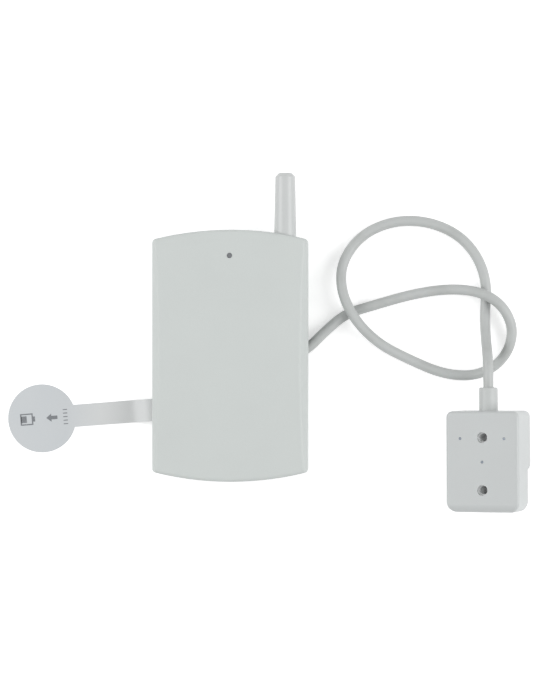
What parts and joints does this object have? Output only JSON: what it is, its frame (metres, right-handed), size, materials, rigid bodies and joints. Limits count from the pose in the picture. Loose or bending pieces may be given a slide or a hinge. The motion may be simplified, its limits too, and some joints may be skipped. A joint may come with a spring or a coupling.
{
  "type": "flood sensor",
  "caption": "Wireless flood sensor: a flat box-shaped transmitter with a whip antenna, a battery pull tab, and a water probe on a looped cable.",
  "frame": {"origin": "centre of the transmitter's flat rear face, in the plane that it lies on", "axes": "+X to the transmitter's right side, where the probe cable leaves; +Y to the end with the antenna; +Z out of its front"},
  "size_m": [0.2052, 0.1317, 0.0253],
  "materials": {
    "case": "satin",
    "light": "gloss",
    "sleeve": "satin",
    "cable": "satin",
    "probe": "satin",
    "film": "gloss",
    "board": "satin",
    "chip": "matt",
    "small_part": "matt",
    "tin": "satin",
    "steel": "satin",
    "can": "satin",
    "connector": "satin",
    "lens": "gloss",
    "cell": "gloss",
    "core_red": "satin",
    "core_white": "satin",
    "core_black": "satin",
    "tie": "satin",
    "spring": "satin",
    "electrode": "polished"
  },
  "bodies": {
    "transmitter": {"rear_shell": "case", "antenna_sleeve": "sleeve", "antenna_element": "steel", "antenna_lead": "core_black", "circuit_board": "board", "board_screws": "steel", "status_led": "lens", "microcontroller": "chip", "radio_chip": "chip", "chip_pins": "tin", "chip_components": "small_part", "resonator": "tin", "crystal": "steel", "capacitor": "can", "cable_socket": "connector", "cable_plug": "connector", "cable_tail": "cable", "cable_tie": "tie", "core_red": "core_red", "core_white": "core_white", "core_black": "core_black", "battery_cell_upper": "cell", "battery_cell_lower": "cell", "positive_contact": "spring", "negative_contact": "spring", "bridging_contact": "spring", "lead_red": "core_red", "lead_black": "core_black", "pull_tab": "film", "probe_cable": "cable", "probe_housing": "probe", "probe_base": "probe", "probe_collar": "probe", "electrode_left": "electrode", "electrode_right": "electrode", "electrode_centre": "electrode"},
    "cover": {"front_cover": "case", "light_pipe": "light"}
  },
  "joints": [
    {"name": "cover_lift", "type": "slide", "parent": "transmitter", "child": "cover", "axis": [0, 0, 1], "range_m": [0, 0.03]}
  ]
}
